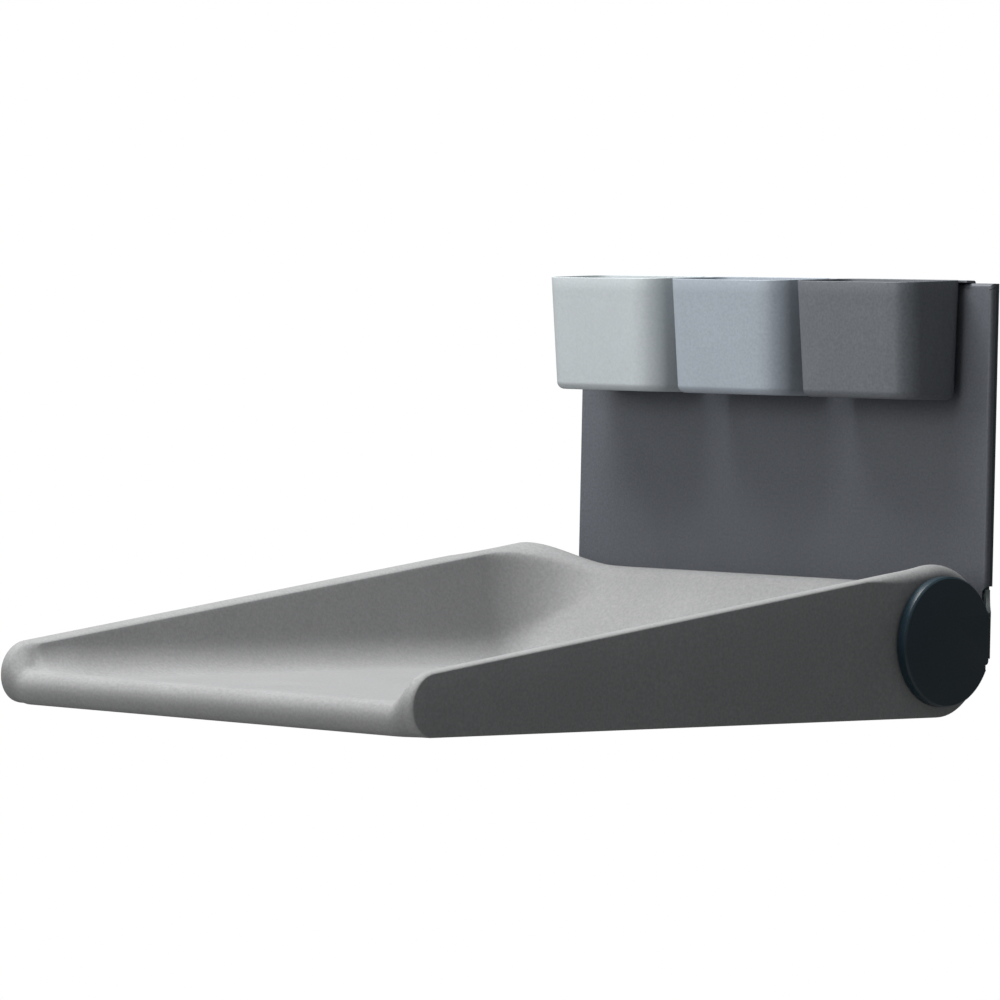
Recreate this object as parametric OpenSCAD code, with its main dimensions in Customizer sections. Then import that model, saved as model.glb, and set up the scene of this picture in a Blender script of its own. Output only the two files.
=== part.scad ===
// Wall-mounted changing station: a foam tray that folds up to a steel panel, with three containers on its edge.
// X runs along the wall, the wall is the plane Y = 0, and the tray opens towards -Y.
// The origin is the centre of the wall bolts, on the wall.

/* [Tray] */
// Width of the tray over its flat sides
tray_w = 600; // [560:1:660]
// Amount by which each side of the tray draws in towards the front
side_draw = 8; // [4:0.5:9]
// Distance from the hinge axis to the tray's front
tray_l = 719.5; // [660:0.5:800]
// Radius of the tray's rounded end about the hinge axis
end_r = 76; // [72:0.5:84]
// Radius of the side edges of the rounded end
end_edge_r = 12.8; // [10:0.2:14]
// Height of the side rim at the front, above the underside
rim_front_h = 58; // [54:0.5:70]
// Width of the rim's crest towards the outside
rim_out = 6; // [5:0.5:8]
// Fall of the rim's crest towards the outside
crown_out = 3; // [2:0.5:4]
// Width of the rim's crest towards the trough
rim_in = 16; // [12:0.5:20]
// Fall of the rim's crest towards the trough
crown_in = 4.5; // [3.5:0.5:6]
// Height of the front lip above the underside
lip_h = 33; // [30:0.5:40]
// Thickness of the foam under the trough
floor_t = 26; // [24:0.5:30]
// Height of the rear ridge above the underside
ridge_h = 130; // [124:0.5:138]
// Lean of the trough's side walls from upright, in degrees
wall_draft = 10; // [6:1:16]
// Radius between the side walls and the trough's floor
floor_fillet = 40; // [30:1:60]
// Slope of the trough's rear wall, in degrees
rear_slope = 54; // [48:1:60]
// Distance in front of the axis at which the rear wall meets the floor
rear_foot = 44; // [36:1:52]
// Distance of the rear ridge behind the axis
ridge_back = 42; // [38:1:46]
// Radius of the trough's rear corners in plan
trough_corner_r = 116; // [96:1:130]
// Largest radius of the rounded front edge, above and below
nose_r = 32; // [20:1:36]

/* [Panel and wall plate] */
// Distance of the panel's side in from the tray's side
panel_inset = 12; // [10:0.5:16]
// Height of the panel
panel_h = 377; // [350:1:430]
// Distance of the panel's face from the wall
panel_off = 11; // [10:0.5:13]
// Thickness of the panel's sheet
sheet_t = 1.5; // [1:0.1:2]
// Outer radius of the panel's bends
bend_r = 4; // [3:0.5:5]
// Thickness of the wall plate
plate_t = 4; // [3:0.5:4.5]
// Height of the panel's side cut-outs at the hinges
notch_h = 73; // [66:1:90]
// Distance between the wall bolts along the wall
bolt_dx = 400; // [320:1:420]
// Distance between the wall bolts up the wall
bolt_dz = 280; // [220:1:290]
// Diameter of the wall bolts' holes
bolt_hole_d = 9; // [7:0.5:11]

/* [Hinges] */
// Height of the hinge axis above the panel's lower edge
hinge_up = 20; // [19:0.5:26]
// Gap between the tray's rounded end and the panel
end_gap = 3.5; // [3:0.5:6]
// Radius of a hinge cover at the tray
cover_r = 65; // [63:0.5:70]
// Thickness of a hinge cover
cover_t = 11; // [11:0.5:14]
// Thickness of a hinge cover's upright rim
cover_rim_t = 2; // [1.5:0.5:4]
// Radius of a hinge cover's flat face, inside its chamfer
cover_face_r = 56; // [53:0.5:58]
// Wall thickness of a hinge cover
cover_wall = 2.2; // [1.8:0.1:2.4]
// Thickness of a bracket's arm
arm_t = 5.5; // [5:0.25:6]
// Height of a bracket's arm above the axis
arm_up = 27; // [24:0.5:30]
// Depth of a bracket's arm below the axis
arm_down = 18; // [14:0.5:18.5]
// Diameter of an axle
axle_d = 22; // [18:0.5:24]
// Wall thickness of a bush
bush_wall = 3; // [2:0.5:3.5]
// Outer diameter of a tray arm's sleeve
sleeve_d = 38; // [36:0.5:42]
// Radius of a tray arm's hub plate
hub_r = 50; // [47:0.5:52]
// Thickness of a tray arm
tray_arm_t = 5; // [4:0.5:6]
// Radius of the stop pin's circle about the axis
stop_r = 38; // [36:0.5:40]
// Diameter of a stop pin
stop_pin_d = 10; // [8:0.5:11]
// Angle through which the tray folds up, in degrees
fold_angle = 90; // [80:1:92]

/* [Containers] */
// Distance of the outer containers in from the panel's sides
bin_margin = 33; // [26:1:48]
// Gap between neighbouring containers
bin_gap = 18; // [10:0.5:26]
// Depth of a container from back to front
bin_d = 93; // [80:1:100]
// Height of a container
bin_h = 121; // [100:1:130]
// Wall thickness of a container
bin_wall = 2.5; // [2:0.1:3]
// Amount by which each side of a container draws in towards its foot
bin_taper = 3; // [1:0.5:6]
// Amount by which the front of a container draws in towards its foot
front_taper = 8.4; // [4:0.2:12]
// Amount by which a container's rim dips towards the front
bin_dip = 4; // [1:0.5:6]
// Radius of a container's front corners
bin_corner_r = 26; // [18:1:30]
// Radius of a container's back corners
bin_back_r = 17; // [12:0.5:22]
// Radius of a container's foot
bin_foot_r = 8; // [5:0.5:8]
// Thickness of a container's hook lip
hook_t = 2.5; // [2:0.1:3]
// Depth to which a hook reaches behind the panel's top edge
hook_drop = 10; // [6:0.5:11]

/* [Hidden] */
$fn = 64;

// Clearances, and one overrun for all cuts
part_gap = 0.3;
press_gap = 0.01;
run_gap = 0.05;
thread_gap = 0.05;
screw_gap = 0.25;
foam_gap = 0.1;
cut = 1;

// Places that the sizes above settle
panel_w = tray_w - 2 * panel_inset;
panel_side = panel_w / 2;
panel_top = panel_h / 2;
panel_bottom = -panel_top;
hinge_z = panel_bottom + hinge_up;
axis_out = panel_off + end_gap + end_r;
tray_side = tray_w / 2;
flange_back = plate_t + part_gap;
cavity_front = panel_off - sheet_t;
tab_front = cavity_front - part_gap;

// Hinge stack along X, from the outside in
cover_gap = 1;
arm_gap = 3;
cover_in = tray_side + cover_gap;
cover_out = cover_in + cover_t;
arm_in = tray_side + arm_gap;
arm_out = arm_in + arm_t;
arm_disc_gap = 0.8;
arm_disc_r = cover_face_r - arm_disc_gap;
axle_head_t = 5;
axle_head_r = 27;
axle_head_in = arm_in - axle_head_t;
axle_r = axle_d / 2;
recess_depth = 11;
recess_wall = 5;
hub_out = tray_side - recess_depth;
hub_in = hub_out - tray_arm_t;
sleeve_l = 32;
sleeve_in = hub_in - sleeve_l;
bush_r = axle_r + bush_wall;
lining_t = 5;
lining_out = axle_head_in - part_gap;
lining_in = lining_out - lining_t;
spring_t = 1.2;
spring_r = 24;
spring_rise = lining_in - hub_out - spring_t - 2 * run_gap;
stop_slot_gap = 0.4;
stop_phase = 75;
stop_grip = 4;

// Screws: shank radius, head radius, head height
m3_r = 1.5;
m3_head_r = 2.9;
m3_head_h = 1.4;
m3_l = 8;
m4_r = 2;
m4_head_r = 3.8;
m4_head_h = 2.2;
m5_r = 2.5;
m5_head_r = 4.75;
m5_head_h = 2.75;
m5_l = 25;
m6_r = 3;
m6_head_r = 6;
m6_head_h = 3;
m8_r = 4;
m8_head_r = 7.5;
m8_head_h = 3.5;

// Colours
slate = [0.3, 0.32, 0.34];
dark_slate = [0.14, 0.16, 0.17];
cover_black = [0.08, 0.1, 0.12];
steel = [0.68, 0.69, 0.7];
foam_grey = [0.5, 0.5, 0.5];

// A rod along X from x0 to x1
module rod(r, x0, x1) {
    translate([x0, 0, 0])
        rotate([0, 90, 0])
            cylinder(r = r, h = x1 - x0);
}

// A countersunk head along X, its flat end at x and its cone narrowing over h towards -X
module sunk_head(head_r, r, h, x) {
    translate([x - h, 0, 0])
        rotate([0, 90, 0])
            cylinder(r1 = r, r2 = head_r, h = h);
}

// A shape drawn in the Y-Z plane and extruded along X from x0 to x1
module side_plate(x0, x1) {
    translate([x0, 0, 0])
        rotate([90, 0, 90])
            linear_extrude(x1 - x0)
                children();
}

// A box given by its lowest and highest corners
module block(low, high) {
    translate(low)
        cube(high - low);
}

module at_axis() {
    translate([0, -axis_out, hinge_z])
        children();
}

// Copies on a circle of radius r about X, at angles counted from straight down towards the wall
module around_axis(r, angles) {
    for (a = angles)
        translate([0, r * sin(a), -r * cos(a)])
            children();
}

module both_sides() {
    children();
    mirror([1, 0, 0])
        children();
}

module mirrored() {
    mirror([1, 0, 0])
        children();
}

// Panel tabs on the wall plate, and the screws that they take
tab_w = 24;
tab_h = 12;
tab_xs = [-panel_w / 3, 0, panel_w / 3];
tab_y = -(tab_front + plate_t) / 2;
tab_head = panel_top - sheet_t - part_gap;
tab_chamfer = (bend_r - sheet_t - part_gap) * (2 - sqrt(2));
hook_slot_gap = 5;
hook_slot = hook_drop + hook_slot_gap;
slot_side_gap = 1;
hook_reach = 3;
slot_side = panel_side - bin_margin + hook_reach + slot_side_gap;

// A tab at x that reaches from its foot up to the panel's edge, its corner cut off to clear the bend
module tab(x, foot, back) {
    side_plate(x - tab_w / 2, x + tab_w / 2)
        polygon([[-back, foot], [-back, tab_head], [tab_chamfer - tab_front, tab_head],
                 [-tab_front, tab_head - tab_chamfer], [-tab_front, foot]]);
}

module low_tab(x) {
    mirror([0, 0, 1])
        tab(x, tab_head - tab_h, plate_t / 2);
}

module high_tab(x) {
    root = tab_head - hook_slot;
    tab(x, root - tab_h, flange_back);
    block([x - tab_w / 2, -tab_front, root - tab_h], [x + tab_w / 2, -plate_t / 2, root]);
}

// Bracket pads behind the panel, screwed to the wall plate
pad_w = 58;
pad_up = 150;
pad_out = panel_side - bend_r;
pad_in = pad_out - pad_w;
pad_screw_x = (pad_in + pad_out) / 2;
pad_screw_shares = [0.52, 0.88];

module at_pad_screws() {
    for (s = pad_screw_shares)
        translate([pad_screw_x, -tab_front, hinge_z + s * pad_up])
            rotate([0, 0, -90])
                children();
}

module wall_plate() {
    color(dark_slate)
        difference() {
            union() {
                block([-panel_side, -plate_t, panel_bottom + notch_h], [panel_side, 0, panel_top]);
                block([-pad_out, -plate_t, panel_bottom], [pad_out, 0, panel_bottom + notch_h]);
            }
            block([-slot_side, -plate_t - cut, panel_top - hook_slot], [slot_side, cut, panel_top + cut]);
            for (x = [-bolt_dx / 2, bolt_dx / 2], z = [-bolt_dz / 2, bolt_dz / 2])
                translate([x, cut, z])
                    rotate([90, 0, 0])
                        cylinder(d = bolt_hole_d, h = plate_t + 2 * cut);
            both_sides()
                at_pad_screws()
                    rod(m8_r + thread_gap, -tab_front - cut, cut);
        }
    color(dark_slate)
        for (x = tab_xs) {
            high_tab(x);
            difference() {
                low_tab(x);
                translate([x, tab_y, panel_bottom])
                    cylinder(r = m4_r + thread_gap, h = sheet_t + part_gap + tab_h + cut);
            }
        }
}

// Front panel: a sheet folded back on all four sides, cut away beside the hinges
module panel_solid(inset, r) {
    half_w = panel_side - inset;
    low = panel_bottom + inset;
    high = panel_top - inset;
    front = panel_off - inset;
    intersection() {
        translate([0, 0, -panel_h])
            linear_extrude(2 * panel_h) {
                translate([-half_w, r - front])
                    square([2 * half_w, front]);
                translate([r - half_w, -front])
                    square([2 * (half_w - r), front]);
                for (x = [r - half_w, half_w - r])
                    translate([x, r - front])
                        circle(r = r);
            }
        side_plate(-panel_w, panel_w) {
            translate([r - front, low])
                square([front, high - low]);
            translate([-front, low + r])
                square([front, high - low - 2 * r]);
            for (z = [low + r, high - r])
                translate([r - front, z])
                    circle(r = r);
        }
    }
}

slit_w = 0.8;
slit_drop = 6.5;
slit_rise = 4;
notch_corner_r = 5;
notch_side = panel_side - bend_r;
notch_top = panel_bottom + notch_h;

module front_panel() {
    color(slate)
        difference() {
            panel_solid(0, bend_r);
            panel_solid(sheet_t, bend_r - sheet_t);
            block([-panel_w, -flange_back, -panel_h], [panel_w, panel_off, panel_h]);
            both_sides() {
                block([notch_side, -panel_off - cut, -panel_h], [panel_w, 0, notch_top - notch_corner_r]);
                block([notch_side, -panel_off + notch_corner_r, -panel_h], [panel_w, 0, notch_top]);
                translate([0, -panel_off + notch_corner_r, notch_top - notch_corner_r])
                    rod(notch_corner_r, notch_side, panel_w);
                translate([notch_side, -panel_off, panel_top - slit_drop])
                    rotate([atan2(slit_rise, panel_off - flange_back), 0, 0])
                        block([0, -panel_off, -slit_w / 2], [panel_off, panel_off, slit_w / 2]);
            }
            for (x = tab_xs)
                translate([x, tab_y, -panel_h])
                    cylinder(r = m4_r + screw_gap, h = panel_h);
        }
}

module panel_screws() {
    color(steel)
        for (x = tab_xs)
            translate([x, tab_y, panel_bottom]) {
                cylinder(r = m4_r, h = sheet_t + tab_h);
                translate([0, 0, -m4_head_h])
                    cylinder(r = m4_head_r, h = m4_head_h);
            }
}

// Hinge brackets: a pad behind the panel, a web that leaves through the cut-out, and an arm outside the tray
web_t = 5.65;
web_low = max(hinge_z - arm_down, -tab_head);
web_up_gap = 3;
web_high = notch_top - web_up_gap;
web_start = flange_back + arm_out - panel_side;
web_tray_gap = 1;
arm_fillet_r = web_high - hinge_z - arm_up;
arm_fillet_y = -panel_off - arm_fillet_r;
axle_screw_angles = [45, 135, 225, 315];
axle_screw_ring = (axle_r + axle_head_r) / 2;
cover_screw_angles = [20, 140, 260];
cover_screw_ring = (stop_r + stop_pin_d / 2 + arm_disc_r) / 2;

// The space that the tray's rounded end sweeps, with a gap round it
module end_sweep(gap) {
    rotate([0, 90, 0])
        rotate_extrude() {
            square([end_r + gap, tray_side - end_edge_r]);
            square([end_r - end_edge_r, tray_side + gap]);
            translate([end_r - end_edge_r, tray_side - end_edge_r])
                intersection() {
                    circle(r = end_edge_r + gap);
                    square(end_edge_r + gap);
                }
        }
}

module bracket_web() {
    difference() {
        translate([0, 0, web_low])
            linear_extrude(web_high - web_low)
                polygon([[pad_out - cut, -flange_back], [panel_side, -flange_back], [arm_out, -web_start],
                         [arm_out, -axis_out], [arm_in, -axis_out], [arm_in, -web_start],
                         [panel_side + tab_front - flange_back - web_t, -tab_front], [pad_out - cut, -tab_front]]);
        block([panel_side, -axis_out, hinge_z + arm_up], [arm_out + cut, arm_fillet_y, web_high + cut]);
        translate([0, arm_fillet_y, web_high])
            rod(arm_fillet_r, panel_side, arm_out + cut);
        at_axis()
            end_sweep(web_tray_gap);
    }
}

module right_bracket() {
    color(dark_slate)
        difference() {
            union() {
                bracket_web();
                block([pad_in, -tab_front, web_low], [pad_out, -flange_back, hinge_z + pad_up]);
                at_axis()
                    rod(arm_disc_r, arm_in, arm_out);
            }
            // The pad's lower front corner, cut off to clear the bend along the panel's foot
            mirror([0, 0, 1])
                side_plate(pad_in - cut, pad_out)
                    polygon([[-tab_front - cut, tab_head - tab_chamfer - cut], [-tab_front - cut, tab_head + cut],
                             [tab_chamfer - tab_front + cut, tab_head + cut]]);
            at_pad_screws() {
                sunk_head(m8_head_r + screw_gap, m8_r + screw_gap, m8_head_h, 0);
                rod(m8_r + screw_gap, -panel_off, cut);
            }
            at_axis() {
                around_axis(axle_screw_ring, axle_screw_angles) {
                    sunk_head(m6_head_r + screw_gap, m6_r + screw_gap, m6_head_h, arm_out);
                    rod(m6_r + screw_gap, arm_in - cut, arm_out + cut);
                }
                around_axis(cover_screw_ring, cover_screw_angles) {
                    mirrored()
                        sunk_head(m3_head_r + screw_gap, m3_r + screw_gap, m3_head_h, -arm_in);
                    rod(m3_r + screw_gap, arm_in - cut, arm_out + cut);
                }
                around_axis(stop_r, [stop_phase])
                    rod(stop_pin_d / 2 + press_gap, arm_in - cut, arm_out + cut);
            }
        }
}

module left_bracket() {
    mirrored()
        right_bracket();
}

module bracket_screws() {
    color(steel)
        both_sides()
            at_pad_screws() {
                sunk_head(m8_head_r, m8_r, m8_head_h, 0);
                rod(m8_r, part_gap - tab_front, -m8_head_h);
            }
}

// Hinge covers: a round cap with a tab towards the wall that hides the bracket's arm
cover_tab_r = 4;
cover_tab_drop = 3.5;
cover_back_gap = 6.2;
cover_back = web_start + cover_back_gap;
cover_tab_up = arm_up + part_gap + cover_wall;
cover_tab_down = arm_down + part_gap + cover_wall + cover_tab_drop;
cover_run = cover_r - cover_face_r;
cover_rise = cover_t - cover_rim_t;
cover_slant = norm([cover_run, cover_rise]);
boss_r = 4;

// Cap and tab, with every face moved in by inset
module cover_shape(inset, overrun) {
    at_axis() {
        translate([cover_in - overrun, 0, 0])
            rotate([0, 90, 0])
                rotate_extrude() {
                    rim_r = cover_r - inset;
                    rim_h = cover_rim_t - inset * (cover_slant - cover_rise) / cover_run + overrun;
                    face_r = cover_face_r - inset * (cover_slant - cover_run) / cover_rise;
                    face_h = cover_t - inset + overrun;
                    polygon([[0, 0], [rim_r, 0], [rim_r, rim_h], [face_r, face_h], [0, face_h]]);
                }
        rotate([90, 0, 0])
            translate([0, 0, -axis_out + cover_back - overrun])
                linear_extrude(axis_out - cover_back + overrun) {
                    low = inset - cover_tab_down;
                    high = cover_tab_up - inset;
                    r = cover_tab_r - inset;
                    translate([cover_in - overrun, low])
                        square([cover_t - inset + overrun - r, high - low]);
                    translate([cover_in - overrun, low + r])
                        square([cover_t - inset + overrun, high - low - 2 * r]);
                    for (z = [low + r, high - r])
                        translate([cover_out - inset - r, z])
                            circle(r = r);
                }
    }
}

module right_cover() {
    color(cover_black)
        difference() {
            union() {
                difference() {
                    cover_shape(0, 0);
                    cover_shape(cover_wall, cut);
                }
                at_axis()
                    around_axis(cover_screw_ring, cover_screw_angles)
                        rod(boss_r, arm_out, cover_out - cover_wall / 2);
            }
            block([0, -cover_back, -panel_h], [tray_w, panel_w, panel_h]);
            translate([0, -cover_back - cover_tab_r, hinge_z - cover_tab_down + cover_tab_r])
                difference() {
                    block([0, 0, -2 * cover_tab_r], [tray_w, 2 * cover_tab_r, 0]);
                    rod(cover_tab_r, -cut, tray_w + cut);
                }
            at_axis()
                around_axis(cover_screw_ring, cover_screw_angles)
                    rod(m3_r + thread_gap, 0, arm_in + m3_l + thread_gap);
        }
}

module left_cover() {
    mirrored()
        right_cover();
}

module cover_screws() {
    color(steel)
        both_sides()
            at_axis()
                around_axis(cover_screw_ring, cover_screw_angles) {
                    mirrored()
                        sunk_head(m3_head_r, m3_r, m3_head_h, -arm_in);
                    rod(m3_r, arm_in + m3_head_h, arm_in + m3_l);
                }
}

// Axles on the brackets, with their screws and stop pins
module right_axle() {
    color(steel)
        at_axis()
            difference() {
                union() {
                    rod(axle_head_r, axle_head_in, arm_in);
                    rod(axle_r, sleeve_in + part_gap, arm_in);
                }
                around_axis(axle_screw_ring, axle_screw_angles)
                    rod(m6_r + thread_gap, axle_head_in - cut, arm_in + cut);
            }
}

module left_axle() {
    mirrored()
        right_axle();
}

module axle_screws() {
    color(steel)
        both_sides()
            at_axis()
                around_axis(axle_screw_ring, axle_screw_angles) {
                    sunk_head(m6_head_r, m6_r, m6_head_h, arm_out);
                    rod(m6_r, axle_head_in + run_gap, arm_out - m6_head_h);
                }
}

module right_stop_pin() {
    color(steel)
        at_axis()
            around_axis(stop_r, [stop_phase])
                rod(stop_pin_d / 2, hub_out - stop_grip, arm_out - part_gap);
}

module left_stop_pin() {
    mirrored()
        right_stop_pin();
}

// Friction pack between an axle's head and a tray arm, and the bush in the arm
module right_friction_lining() {
    color(foam_grey)
        at_axis()
            difference() {
                rod(axle_head_r, lining_in, lining_out);
                rod(axle_r + part_gap, lining_in - cut, lining_out + cut);
            }
}

module left_friction_lining() {
    mirrored()
        right_friction_lining();
}

module right_disc_spring() {
    bore_r = axle_r + part_gap;
    color(steel)
        at_axis()
            translate([hub_out + run_gap, 0, 0])
                rotate([0, 90, 0])
                    rotate_extrude()
                        polygon([[bore_r, 0], [spring_r, spring_rise], [spring_r, spring_rise + spring_t],
                                 [bore_r, spring_t]]);
}

module left_disc_spring() {
    mirrored()
        right_disc_spring();
}

module right_bush() {
    color(foam_grey)
        at_axis()
            difference() {
                rod(bush_r, sleeve_in, hub_out);
                rod(axle_r + run_gap, sleeve_in - cut, hub_out + cut);
            }
}

module left_bush() {
    mirrored()
        right_bush();
}

// Tray frame inside the foam: two arms with hubs, two cross bars and a board
frame_end = 150;
cross_bar_w = 30;
cross_bar_t = 10;
cross_bar_cover = 10;
cross_low = cross_bar_cover - end_r;
cross_high = cross_low + cross_bar_t;
cross_mid = (cross_low + cross_high) / 2;
arm_bar_high = -30;
rear_bar_u = 105;
front_bar_u = tray_l - frame_end - cross_bar_w / 2;
cross_bar_us = [rear_bar_u, front_bar_u];
board_side = 17;
board_lift = 1;

// The slot that the stop pin runs in, as wide and as long as gap allows
module stop_slot(gap) {
    half_w = stop_pin_d / 2 + gap;
    end_angle = asin(gap / stop_r);
    rotate([0, 90, 0])
        rotate([0, 0, stop_phase - end_angle])
            rotate_extrude(angle = fold_angle + 2 * end_angle)
                translate([stop_r - half_w, hub_in - cut])
                    square([2 * half_w, tray_arm_t + 2 * cut]);
    around_axis(stop_r, [stop_phase - end_angle, stop_phase + fold_angle + end_angle])
        rod(half_w, hub_in - cut, hub_out + cut);
}

module right_tray_arm() {
    color(steel)
        at_axis()
            difference() {
                union() {
                    rod(hub_r, hub_in, hub_out);
                    rod(sleeve_d / 2, sleeve_in, hub_out);
                    block([hub_in, frame_end - tray_l, cross_low], [hub_out, 0, arm_bar_high]);
                }
                rod(bush_r + press_gap, sleeve_in - cut, hub_out + cut);
                stop_slot(stop_slot_gap);
                for (u = cross_bar_us)
                    translate([0, -u, cross_mid])
                        rod(m5_r + screw_gap, hub_in - cut, hub_out + cut);
            }
}

module left_tray_arm() {
    mirrored()
        right_tray_arm();
}

module cross_bar(u) {
    color(steel)
        at_axis()
            difference() {
                block([-hub_in, -u - cross_bar_w / 2, cross_low], [hub_in, -u + cross_bar_w / 2, cross_high]);
                both_sides()
                    translate([0, -u, cross_mid])
                        rod(m5_r + thread_gap, hub_out - m5_l - cut, hub_out);
            }
}

module front_cross_bar() {
    cross_bar(front_bar_u);
}

module rear_cross_bar() {
    cross_bar(rear_bar_u);
}

module frame_screws() {
    color(steel)
        both_sides()
            at_axis()
                for (u = cross_bar_us)
                    translate([0, -u, cross_mid]) {
                        rod(m5_head_r, hub_out, hub_out + m5_head_h);
                        rod(m5_r, hub_out - m5_l, hub_out);
                    }
}

// The board between the cross bars, with every face moved out by gap
module board_shape(gap) {
    half_w = hub_in - board_side + gap;
    block([-half_w, cross_bar_w / 2 + part_gap - gap - front_bar_u, cross_low + board_lift - gap],
          [half_w, gap - part_gap - cross_bar_w / 2 - rear_bar_u, cross_high - board_lift + gap]);
}

module base_board() {
    color([0.72, 0.6, 0.42])
        at_axis()
            board_shape(0);
}

// Tray foam. a is the distance from the middle, u the distance in front of the hinge axis, z the height above it.
rim_line = tray_side - rim_out;
floor_z = floor_t - end_r;
ridge_z = ridge_h - end_r;
lip_z = lip_h - end_r;
rim_front_z = rim_front_h - end_r;
rim_fall = 90 - atan2(rim_front_z, tray_l) - acos(end_r / norm([tray_l, rim_front_z]));
corner_a = rim_line - trough_corner_r;
corner_u = trough_corner_r - ridge_back;
deck_flat_share = 2 / 3;
deck_run_share = 0.26;
deck_from = deck_flat_share * tray_side;
deck_run = deck_run_share * tray_side;
ridge_blend = 14;
foot_blend = 34;
end_blend = 6;
edge_blend_from = 50;
edge_blend_run = 60;
edge_turn = 75;
lip_run = 100;
lip_relax = 36;
lip_rim_in = 9;
lip_crown = 5;
lip_draft = 35;
lip_fillet = 14;
column_reach = 122;
row_reach = 12;
crown_turn = 88;
fillet_limit_share = 0.95;
nose_limit_share = 0.48;
under_share = 0.3;
crest_steps = 4;
inner_steps = 3;
wall_steps = 14;
under_steps = 8;
end_steps = 13;
rear_steps = 12;
long_steps = 3;
lip_steps = 8;
nose_steps = 5;

function ease(t) =
    let (c = max(0, min(1, t)))
    c * c * (3 - 2 * c);
function mix(p, q, t) = p + (q - p) * t;
function soft_min(p, q, k) =
    let (h = max(k - abs(p - q), 0) / k)
    min(p, q) - h * h * k / 4;
function soft_max(p, q, k) = -soft_min(-p, -q, k);

// How far the crest has fallen towards the outside at a, and how far the rounded end has drawn in there
function side_inset(a) =
    let (t = max(0, a - rim_line) / rim_out)
    crown_out * (1 - sqrt(max(0, 1 - t * t)));
function end_inset(a) =
    let (t = max(0, a - tray_side + end_edge_r))
    end_edge_r - sqrt(max(0, end_edge_r * end_edge_r - t * t));

// Height of the rim's crest: round the hinge axis, then straight down to the front
function rim_z(u, inset) =
    let (r = end_r - inset)
    u < r * sin(rim_fall) ? sqrt(max(0, r * r - u * u)) : r / cos(rim_fall) - u * tan(rim_fall);
function rim_at(a, u) = rim_z(u, mix(end_inset(a), side_inset(a), ease((u - edge_blend_from) / edge_blend_run)));

function floor_at(u) = mix(floor_z, lip_z, ease((u - tray_l + lip_run) / (lip_run - lip_h / 2)));

// Crest, leaning wall, fillet and floor, at the distance s inside the rim line. Where spread is 1 the wall leans out.
function side_z(s, rim, bed, spread) =
    let (crest_r = mix(rim_in, lip_rim_in, spread),
         crown = mix(crown_in, lip_crown, spread),
         draft = mix(wall_draft, lip_draft, spread),
         turn = atan(crest_r / crown / tan(draft)),
         wall_s = crest_r * sin(turn),
         wall_z = rim - crown * (1 - cos(turn)),
         drop = wall_z - bed,
         r = min(mix(floor_fillet, lip_fillet, spread), fillet_limit_share * drop / (1 - sin(draft))),
         end_s = wall_s + drop * tan(draft) + r * (1 - sin(draft)) / cos(draft))
    s <= 0 ? rim :
    s < wall_s ? rim - crown * (1 - sqrt(max(0, 1 - s * s / (crest_r * crest_r)))) :
    s < end_s - r * cos(draft) ? wall_z - (s - wall_s) / tan(draft) :
    s < end_s ? bed + r - sqrt(max(0, r * r - (end_s - s) * (end_s - s))) : bed;

// Ridge, rear wall and floor at the distance u; the ridge climbs towards the sides
function rear_z(a, u) =
    let (climb = max(0, a - deck_from) / deck_run,
         deck = mix(ridge_z, end_r, climb * climb))
    soft_max(floor_z, soft_min(deck, floor_z + (rear_foot - u) * tan(rear_slope), ridge_blend), foot_blend);

// How far round a rear corner a point lies: 0 beside the tray, 1 behind it
function corner_turn(a, u) =
    u >= corner_u ? 0 :
    a <= corner_a ? 1 : ease(atan2(corner_u - u, a - corner_a) / 90);

function trough_z(a, u) =
    let (depth = trough_corner_r - norm([max(0, a - corner_a), max(0, corner_u - u)]),
         s = a <= corner_a || u >= corner_u ? rim_line - a : depth,
         back = a <= corner_a ? u : depth - ridge_back,
         spread = ease((u - tray_l + lip_relax) / (lip_relax - lip_h / 2)))
    mix(side_z(s, rim_at(a, u), floor_at(u), spread), rear_z(a, back), corner_turn(a, u));

function top_z(a, u) =
    soft_min(rim_at(a, u), trough_z(a, u), max(press_gap, end_blend * corner_turn(a, u)));

// Closed outline of the tray in the plane at a, from under the axis round the rear, over the top and back
function outline(a) =
    let (inset = side_inset(a),
         r = end_r - end_inset(a),
         low = end_r - under_share * inset,
         front = tray_l - inset,
         nose = min(nose_r, nose_limit_share * (top_z(a, front) + end_r - inset)),
         rows_u = corner_u + row_reach,
         lip_u = tray_l - lip_run)
    concat([for (i = [0:under_steps - 1])
                let (t = 90 * i / under_steps, turn_r = mix(low, r, ease(t / edge_turn)))
                [-turn_r * sin(t), -turn_r * cos(t)]],
           [for (i = [0:end_steps]) let (u = -r * cos(90 * i / end_steps)) [u, top_z(a, u)]],
           [for (i = [1:rear_steps]) let (u = rows_u * i / rear_steps) [u, top_z(a, u)]],
           [for (i = [1:long_steps]) let (u = mix(rows_u, lip_u, i / long_steps)) [u, top_z(a, u)]],
           [for (i = [1:lip_steps]) let (u = mix(lip_u, front - nose, i / lip_steps)) [u, top_z(a, u)]],
           [for (i = [1:nose_steps]) let (t = 90 * i / nose_steps, u = front - nose * (1 - sin(t)))
                [u, top_z(a, u) - nose * (1 - cos(t))]],
           [for (i = [0:nose_steps]) let (t = 90 * i / nose_steps)
                [front - nose * (1 - cos(t)), nose * (1 - sin(t)) - mix(end_r - inset, low, sin(t))]]);

half_columns = concat([for (i = [0:crest_steps]) rim_line + rim_out * cos(90 * i / crest_steps)],
                      [for (i = [1:inner_steps]) rim_line - rim_in * sin(crown_turn * i / inner_steps)],
                      [for (i = [1:wall_steps]) rim_line - mix(rim_in, column_reach, pow(i / wall_steps, 1.6))],
                      [0]);
column_count = len(half_columns);
columns = concat([for (a = half_columns) -a], [for (i = [2:column_count]) half_columns[column_count - i]]);

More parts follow.
